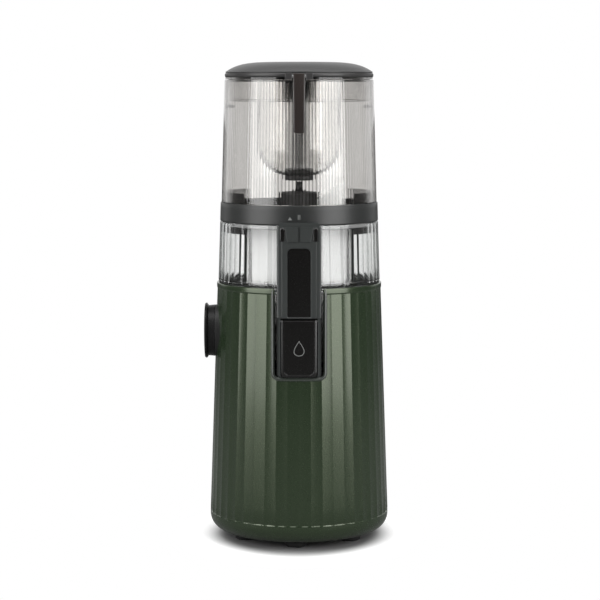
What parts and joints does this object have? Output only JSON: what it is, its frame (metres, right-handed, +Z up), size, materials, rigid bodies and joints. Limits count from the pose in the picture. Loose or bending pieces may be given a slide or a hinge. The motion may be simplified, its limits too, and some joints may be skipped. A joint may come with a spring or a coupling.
{
  "type": "cold press juicer",
  "caption": "Upright slow juicer: fluted green motor housing with side knob, clear bowl with strainer and screw, front spout with cap, clear hopper and hinged lid.",
  "frame": {"origin": "On the axis of the screw, on the surface that the feet stand on.", "axes": "+Z up, the juice spout faces -Y, the power knob faces -X."},
  "size_m": [0.1752, 0.1718, 0.4516],
  "materials": {
    "housing_green": "satin moulded housing, dark olive green",
    "black_plastic": "fine matt black moulding",
    "dark_plastic": "dark moulding out of sight",
    "foot_rubber": "soft black rubber",
    "seal_rubber": "grey silicone",
    "steel": "turned steel",
    "core_steel": "stacked laminations",
    "copper": "lacquered copper wire",
    "aluminium": "die cast, unpainted",
    "gear_nylon": "natural nylon",
    "board_green": "circuit board",
    "knob_black": "satin black knob",
    "black_gloss": "polished black",
    "lid_black": "polished smoky black",
    "latch_brown": "polished black-brown",
    "clear_bowl": "clear fluted copolyester",
    "smoky_hopper": "clear smoky ribbed copolyester",
    "smoky_skirt": "clear dark smoky",
    "clear_guard": "clear guard cup",
    "screen_grey": "light grey strainer",
    "screw_grey": "light grey filled resin",
    "wing_grey": "pale translucent resin",
    "post_grey": "mid grey"
  },
  "bodies": {
    "base": {"body_shell": "housing_green", "body_foot": "housing_green", "base_plate": "black_plastic", "rubber_feet": "foot_rubber", "base_screws": "steel", "well_liner": "dark_plastic", "motor_stator": "core_steel", "motor_windings": "copper", "motor_lower_cap": "aluminium", "motor_upper_cap": "aluminium", "motor_bearings": "steel", "motor_dampers": "foot_rubber", "gearbox_housing": "aluminium", "gearbox_lid": "aluminium", "gearbox_screws": "steel", "idler_pin": "steel", "output_bearing": "steel", "control_board": "board_green", "switch_body": "dark_plastic", "knob_plinth": "black_plastic", "interlock_switch": "dark_plastic", "cord_gland": "foot_rubber"},
    "knob": {"power_knob": "knob_black"},
    "rotor": {"motor_shaft": "steel", "motor_rotor": "core_steel", "cooling_fan": "gear_nylon"},
    "idler": {"idler_gear": "gear_nylon"},
    "drive": {"output_gear": "gear_nylon", "drive_shaft": "steel"},
    "bowl": {"juicing_bowl": "clear_bowl", "bowl_cup": "clear_bowl", "shoulder_gasket": "foot_rubber", "spout_frame": "black_gloss", "shaft_seal": "seal_rubber", "strainer_frame": "screen_grey", "strainer_screen": "screen_grey", "cap_pins": "steel", "pulp_spout": "black_gloss"},
    "juice_cap": {"juice_cap": "black_gloss", "juice_cap_seal": "seal_rubber"},
    "pulp_cap": {"pulp_cap": "black_gloss"},
    "screw": {"auger_screw": "screw_grey", "cutting_wing": "wing_grey", "screw_crown": "black_plastic"},
    "hopper": {"hopper_wall": "smoky_hopper", "latch_guides": "smoky_hopper", "hopper_ring": "black_gloss", "hopper_floor": "black_gloss", "hopper_gasket": "seal_rubber", "hinge_bracket": "black_gloss", "lid_hinge_pin": "steel", "lid_rest_pins": "black_plastic"},
    "lid": {"lid_dome": "lid_black", "lid_skirt": "smoky_skirt", "feed_guard": "clear_guard", "guard_hub": "black_plastic", "centre_post": "post_grey", "latch_pin": "steel"},
    "latch": {"lid_latch": "latch_brown"}
  },
  "joints": [
    {"name": "knob_turn", "type": "hinge", "parent": "base", "child": "knob", "pos_m": [-0.085, 0, 0.1968], "axis": [-1, 0, 0], "range_deg": [-45, 45]},
    {"name": "motor_spin", "type": "hinge", "parent": "base", "child": "rotor", "pos_m": [0, 0, 0.06], "axis": [0, 0, 1], "continuous": true},
    {"name": "idler_spin", "type": "hinge", "parent": "base", "child": "idler", "pos_m": [0, 0.0375, 0.115], "axis": [0, 0, 1], "continuous": true},
    {"name": "drive_spin", "type": "hinge", "parent": "base", "child": "drive", "pos_m": [0, 0, 0.14], "axis": [0, 0, 1], "continuous": true},
    {"name": "bowl_lift", "type": "slide", "parent": "base", "child": "bowl", "axis": [0, 0, 1], "range_m": [0, 0.09]},
    {"name": "juice_cap_open", "type": "hinge", "parent": "bowl", "child": "juice_cap", "pos_m": [0, -0.07923, 0.21479], "axis": [-1, 0, 0], "range_deg": [0, 80]},
    {"name": "pulp_cap_open", "type": "hinge", "parent": "bowl", "child": "pulp_cap", "pos_m": [0, 0.07848, 0.1907], "axis": [1, 0, 0], "range_deg": [0, 80]},
    {"name": "screw_spin", "type": "hinge", "parent": "bowl", "child": "screw", "pos_m": [0, 0, 0.24], "axis": [0, 0, 1], "continuous": true},
    {"name": "hopper_turn", "type": "hinge", "parent": "bowl", "child": "hopper", "pos_m": [0, 0, 0.31], "axis": [0, 0, 1], "range_deg": [0, 25]},
    {"name": "lid_open", "type": "hinge", "parent": "hopper", "child": "lid", "pos_m": [0, 0.075, 0.438], "axis": [-1, 0, 0], "range_deg": [0, 100]},
    {"name": "latch_swing", "type": "hinge", "parent": "lid", "child": "latch", "pos_m": [0, -0.074, 0.438], "axis": [-1, 0, 0], "range_deg": [0, 30]}
  ],
  "couplings": [
    {"joint": "idler_spin", "follows": "motor_spin", "ratio": -0.25},
    {"joint": "drive_spin", "follows": "motor_spin", "ratio": 0.0625},
    {"joint": "screw_spin", "follows": "motor_spin", "ratio": 0.0625}
  ]
}
